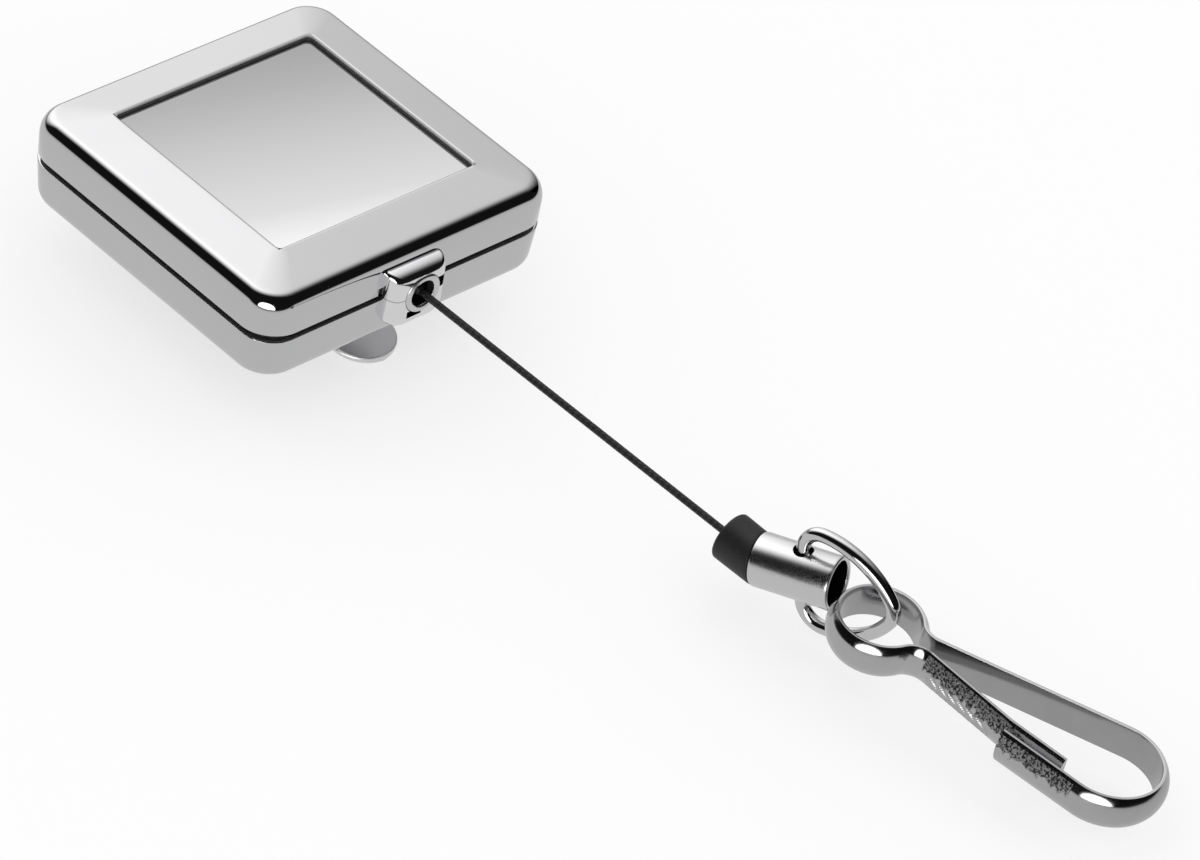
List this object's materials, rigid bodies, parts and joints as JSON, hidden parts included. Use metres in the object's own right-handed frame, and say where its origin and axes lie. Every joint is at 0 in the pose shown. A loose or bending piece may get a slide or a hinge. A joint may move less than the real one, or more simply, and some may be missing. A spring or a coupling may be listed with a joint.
{
  "type": "retractable badge reel",
  "caption": "Square chrome badge reel with a belt clip and a sprung spool that pays out a black cord to a swivelling ferrule, wire bail and snap hook.",
  "frame": {"origin": "centre of the case's rear face, on the spool's axis", "axes": "+Z out of the front face, the cord leaves toward -Y, +X to the right seen from the front"},
  "size_m": [0.0406, 0.1374, 0.0182],
  "materials": {
    "case_chrome": "bright chrome on die-cast metal, polished",
    "mirror_plate": "mirror-bright plate",
    "adhesive_pad": "white foam adhesive",
    "steel": "turned steel",
    "acetal": "moulded white acetal",
    "screw_steel": "nickel-plated steel",
    "clip_chrome": "chromed spring steel, satin",
    "spring_steel": "blued spring steel, oiled",
    "cord": "tight black braid",
    "black_rubber": "matte moulded rubber",
    "ferrule_nickel": "turned and nickel-plated, satin",
    "wire_nickel": "polished nickel-plated wire",
    "hook_nickel": "nickel-plated half-round steel strip"
  },
  "bodies": {
    "case": {"front_cover": "case_chrome", "rear_cover": "case_chrome", "face_plate": "mirror_plate", "face_adhesive": "adhesive_pad", "cord_eyelet": "case_chrome", "spindle": "steel", "front_washer": "acetal", "rear_washer": "acetal", "case_screws": "screw_steel", "clip_base": "clip_chrome", "clip_rivets": "screw_steel", "cord_inner": "cord"},
    "spool": {"spool": "acetal", "spring_cover": "steel", "mainspring": "spring_steel", "wound_cord": "cord", "anchor_knot": "cord"},
    "clip": {"clip_tongue": "clip_chrome"},
    "cord_throat": {"cord_throat": "cord"},
    "cord_lead": {"cord_lead": "cord"},
    "cord_end": {"cord_run": "cord", "bumper": "black_rubber"},
    "end_knot": {"end_knot": "cord"},
    "ferrule": {"ferrule": "ferrule_nickel"},
    "bail": {"bail": "wire_nickel"},
    "hook": {"hook_body": "hook_nickel"},
    "gate": {"hook_gate": "hook_nickel"}
  },
  "joints": [
    {"name": "cord_yaw", "type": "hinge", "parent": "case", "child": "cord_throat", "pos_m": [0, -0.02095, 0.00595], "axis": [0, 0, 1], "range_deg": [-36, 24]},
    {"name": "cord_pitch", "type": "hinge", "parent": "cord_throat", "child": "cord_lead", "pos_m": [0, -0.02095, 0.00595], "axis": [0.9936, 0.1132, 0], "range_deg": [-36, 24]},
    {"name": "cord_pull", "type": "slide", "parent": "cord_lead", "child": "cord_end", "axis": [0.1126, -0.9879, -0.1063], "range_m": [-0.0418, 0.75], "deforming": ["cord_run"]},
    {"name": "spool_spin", "type": "hinge", "parent": "case", "child": "spool", "pos_m": [0, 0, 0.00595], "axis": [0, 0, 1], "range_deg": [-3015.4, 169.9], "deforming": ["mainspring"]},
    {"name": "ferrule_tilt", "type": "hinge", "parent": "cord_end", "child": "end_knot", "pos_m": [0.00544, -0.06867, 0.00082], "axis": [0.0452, -0.1261, -0.991], "range_deg": [-16, 42], "deforming": ["bumper"]},
    {"name": "ferrule_swivel", "type": "hinge", "parent": "end_knot", "child": "ferrule", "pos_m": [0.00611, -0.07053, 0.00109], "axis": [0.3341, -0.933, 0.134], "continuous": true},
    {"name": "bail_swing", "type": "hinge", "parent": "ferrule", "child": "bail", "pos_m": [0.00712, -0.07338, 0.00149], "axis": [-0.0452, 0.1261, 0.991], "range_deg": [-46, 74]},
    {"name": "hook_swing", "type": "hinge", "parent": "bail", "child": "hook", "pos_m": [0.00769, -0.0839, 0.00119], "axis": [-0.0302, 0.0762, -0.9966], "range_deg": [-75, 75]},
    {"name": "gate_flex", "type": "hinge", "parent": "hook", "child": "gate", "pos_m": [0.0082, -0.09026, 0.00069], "axis": [0.0302, -0.0762, 0.9966], "range_deg": [0, 15]},
    {"name": "clip_flex", "type": "hinge", "parent": "case", "child": "clip", "pos_m": [0, 0.0157, -0.0031], "axis": [1, 0, 0], "range_deg": [0, 12]}
  ],
  "couplings": [
    {"joint": "spool_spin", "follows": "cord_pull", "rad_per_m": -70.126}
  ]
}
